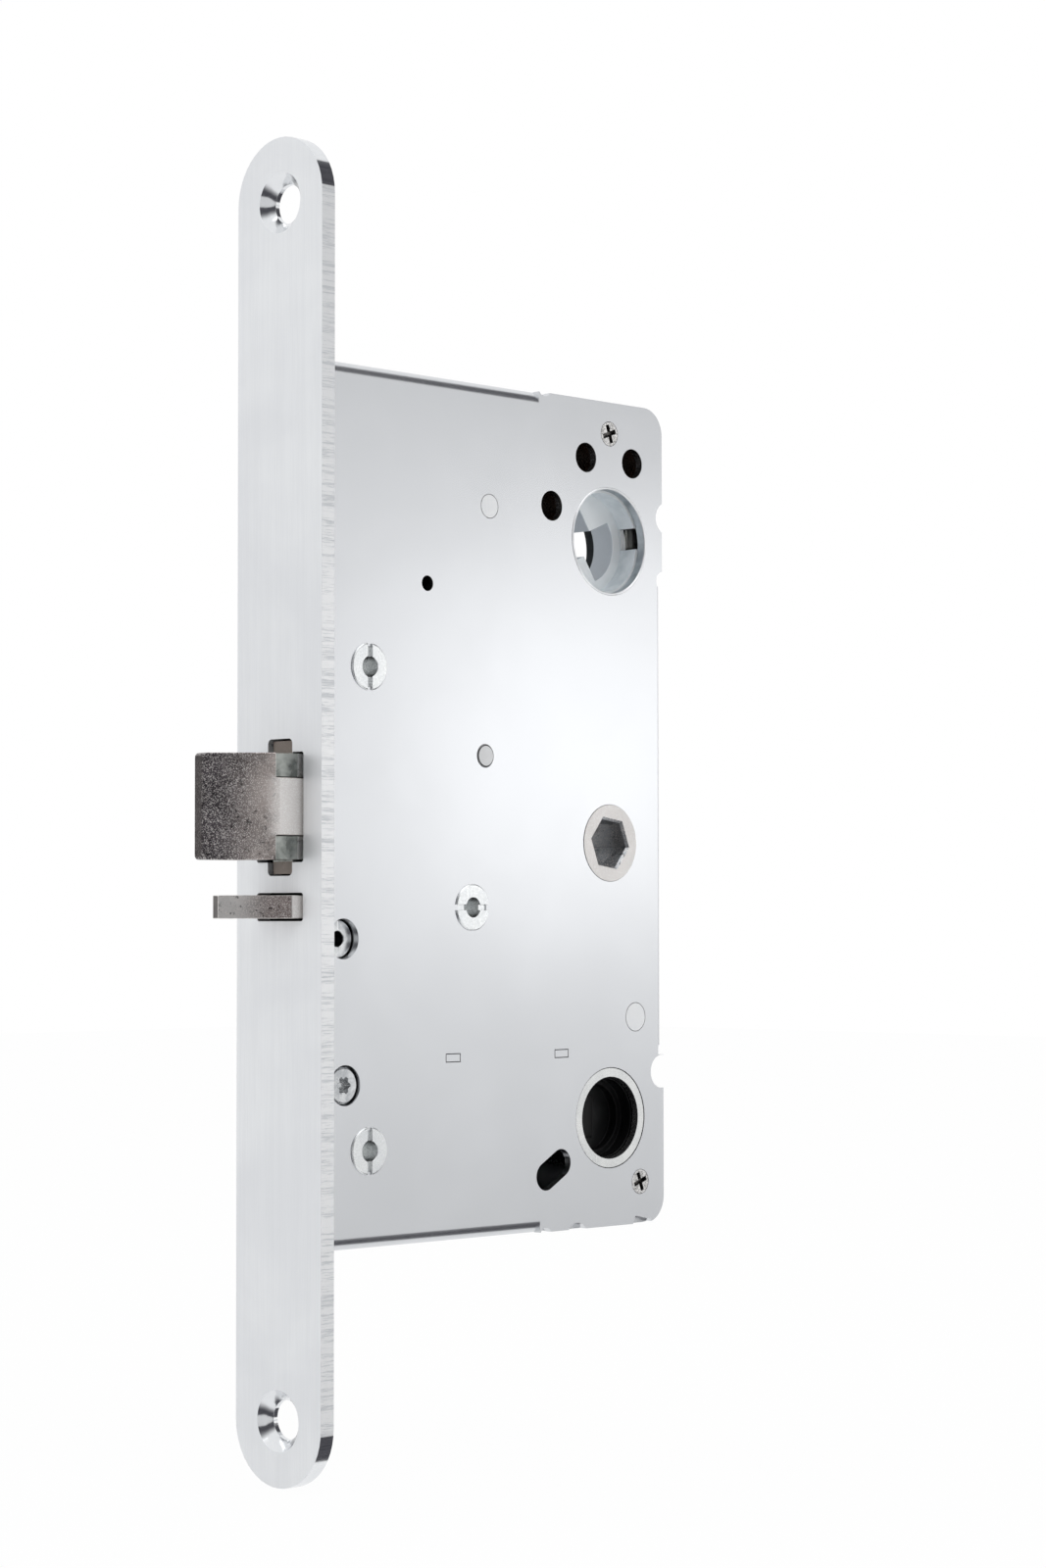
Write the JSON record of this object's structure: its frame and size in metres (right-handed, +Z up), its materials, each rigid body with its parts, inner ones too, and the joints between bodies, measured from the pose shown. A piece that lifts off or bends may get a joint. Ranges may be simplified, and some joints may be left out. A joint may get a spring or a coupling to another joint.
{
  "type": "panic mortise lock",
  "caption": "Mortise lock case with a round-ended forend, bevelled latch, small trigger bolt, hexagon follower, round cylinder hole and lower locking hub",
  "frame": {"origin": "Centre of the forend's front face, midway between its two screw holes", "axes": "X runs into the door from the forend, Y across the door with the cover on the -Y side, Z up"},
  "size_m": [0.1062, 0.022, 0.235],
  "materials": {
    "forend_steel": "plated, fine upright grain",
    "zinc_plate": "bright zinc plated sheet",
    "nickel_rings": "bright, smooth",
    "post_steel": "bright zinc plated, turned",
    "screw_steel": "bright plated",
    "sintered_steel": "sintered, speckled, faint sheen",
    "yoke_steel": "smooth, greenish grey",
    "inner_steel": "plain punched steel",
    "die_casting": "zinc die-casting, mottled",
    "spring_steel": "drawn wire",
    "black_plastic": "moulded, slight sheen"
  },
  "bodies": {
    "casing": {"forend": "forend_steel", "forend_bracket": "inner_steel", "forend_bush": "screw_steel", "forend_screw": "screw_steel", "case_pan": "zinc_plate", "cover_plate": "zinc_plate", "upper_post": "post_steel", "middle_post": "post_steel", "lower_post": "post_steel", "cover_screws": "screw_steel", "screw_posts": "inner_steel", "fixing_sleeves": "black_plastic", "case_rivets": "zinc_plate", "lever_pin": "zinc_plate", "guide_shelf": "zinc_plate", "slide_guides": "inner_steel", "upper_collar": "nickel_rings", "upper_collar_far": "nickel_rings", "detent_wire": "spring_steel", "lower_ring": "nickel_rings", "lower_ring_far": "nickel_rings", "latch_spring": "spring_steel", "trigger_spring": "spring_steel", "lever_spring": "spring_steel", "follower_spring": "spring_steel"},
    "latch": {"latch_head": "sintered_steel", "latch_yoke": "yoke_steel", "latch_tail": "inner_steel", "head_pin": "inner_steel", "tail_pin": "inner_steel"},
    "trigger": {"trigger_bolt": "sintered_steel"},
    "lever": {"blocking_lever": "inner_steel"},
    "follower": {"follower": "sintered_steel"},
    "drum": {"key_drum": "die_casting"},
    "key": {"key_slide": "inner_steel"},
    "hub": {"lock_hub": "black_plastic"},
    "lock": {"lock_slide": "inner_steel"}
  },
  "joints": [
    {"name": "follower_turn", "type": "hinge", "parent": "casing", "child": "follower", "pos_m": [0.0765, 0, -0.0051], "axis": [0, 1, 0], "range_deg": [0, 45.05], "deforming": ["follower_spring"]},
    {"name": "latch_slide", "type": "slide", "parent": "casing", "child": "latch", "axis": [1, 0, 0], "range_m": [0, 0.0143], "stiffness_N_per_m": 150, "springref_m": -0.015, "deforming": ["latch_spring"]},
    {"name": "trigger_slide", "type": "slide", "parent": "casing", "child": "trigger", "axis": [1, 0, 0], "range_m": [0, 0.01], "stiffness_N_per_m": 120, "springref_m": -0.01, "deforming": ["trigger_spring"]},
    {"name": "lever_swing", "type": "hinge", "parent": "casing", "child": "lever", "pos_m": [0.0433, 0, 0.0102], "axis": [0, -1, 0], "range_deg": [0, 26.51]},
    {"name": "drum_turn", "type": "hinge", "parent": "casing", "child": "drum", "pos_m": [0.0765, 0, 0.0519], "axis": [0, -1, 0], "range_deg": [0, 40]},
    {"name": "key_slide_travel", "type": "slide", "parent": "casing", "child": "key", "axis": [1, 0, 0], "range_m": [0, 0.00918]},
    {"name": "hub_turn", "type": "hinge", "parent": "casing", "child": "hub", "pos_m": [0.0765, 0, -0.05665], "axis": [0, -1, 0], "range_deg": [0, 45.05]},
    {"name": "lock_slide_travel", "type": "slide", "parent": "casing", "child": "lock", "axis": [-1, 0, 0], "range_m": [0, 0.00842]}
  ],
  "couplings": [
    {"joint": "follower_turn", "follows": "latch_slide", "rad_per_m": 54.923},
    {"joint": "lever_swing", "follows": "trigger_slide", "rad_per_m": 46.251},
    {"joint": "key_slide_travel", "follows": "drum_turn", "m_per_rad": 0.01313},
    {"joint": "hub_turn", "follows": "lock_slide_travel", "rad_per_m": 93.288}
  ]
}
